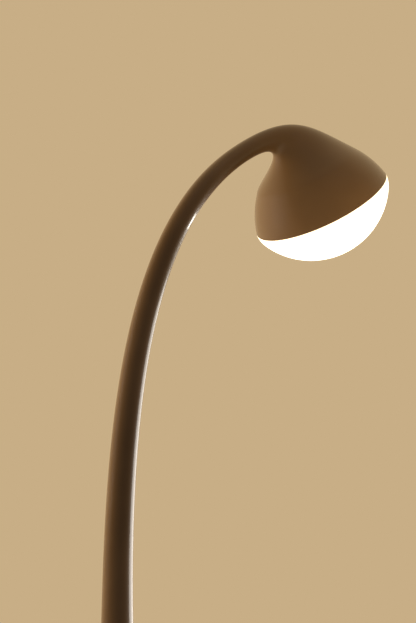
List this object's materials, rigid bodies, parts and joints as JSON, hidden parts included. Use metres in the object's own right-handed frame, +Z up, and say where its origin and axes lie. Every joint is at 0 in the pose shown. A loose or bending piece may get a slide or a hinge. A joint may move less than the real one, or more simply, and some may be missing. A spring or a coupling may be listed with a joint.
{
  "type": "floor lamp",
  "caption": "Floor lamp with a weighted trumpet foot, a tapering swan-neck stem that swells into a bell-shaped head, an opal dome on a bayonet and a sprung foot button.",
  "frame": {"origin": "centre of the foot's underside, on the floor", "axes": "+Z up, +X towards the head, so the arch of the stem lies in the XZ plane"},
  "size_m": [0.668, 0.296, 1.3615],
  "materials": {
    "lacquer": "glossy warm brown lacquer",
    "opal": "opal, satin outside",
    "bulb_glass": "frosted",
    "steel": "zinc plated",
    "bezel": "polished",
    "iron": "as cast",
    "brass": "bright",
    "black_plastic": "fine satin",
    "cable": "matt",
    "white_plastic": "satin",
    "felt": "pressed felt"
  },
  "bodies": {
    "lamp": {"felt_pad": "felt", "base_plate": "steel", "base_screws": "steel", "foot_ring": "steel", "foot_cover": "lacquer", "foot_trumpet": "lacquer", "trumpet_collar": "steel", "lower_stem": "lacquer", "ballast": "iron", "ballast_bolts": "steel", "cord_gland": "black_plastic", "gland_nut": "steel", "cord_clamp": "black_plastic", "clamp_screws": "steel", "terminal_block": "white_plastic", "switch_lead": "cable", "switch_body": "black_plastic", "switch_spring": "steel", "switch_bezel": "bezel", "bezel_screws": "steel", "stem_plug": "steel", "stem": "lacquer", "neck_spigot": "steel", "neck": "lacquer", "neck_ring": "steel", "bell_shade": "lacquer", "shade_screws": "steel", "shade_rings": "white_plastic", "holder_cap": "white_plastic", "holder_sleeve": "white_plastic", "bulb_cap": "brass", "bulb_globe": "bulb_glass", "bayonet_ring": "steel", "lead": "cable"},
    "switch_button": {"switch_button": "black_plastic"},
    "diffuser": {"diffuser": "opal", "dome_collar": "white_plastic"}
  },
  "joints": [
    {"name": "switch_press", "type": "slide", "parent": "lamp", "child": "switch_button", "axis": [0, 0, -1], "range_m": [0, 0.003], "stiffness_N_per_m": 400, "springref_m": -0.003, "deforming": ["switch_spring"]},
    {"name": "diffuser_twist", "type": "hinge", "parent": "lamp", "child": "diffuser", "pos_m": [0.409, 0, 1.231], "axis": [-0.5388, 0, 0.8425], "range_deg": [0, 25]}
  ]
}
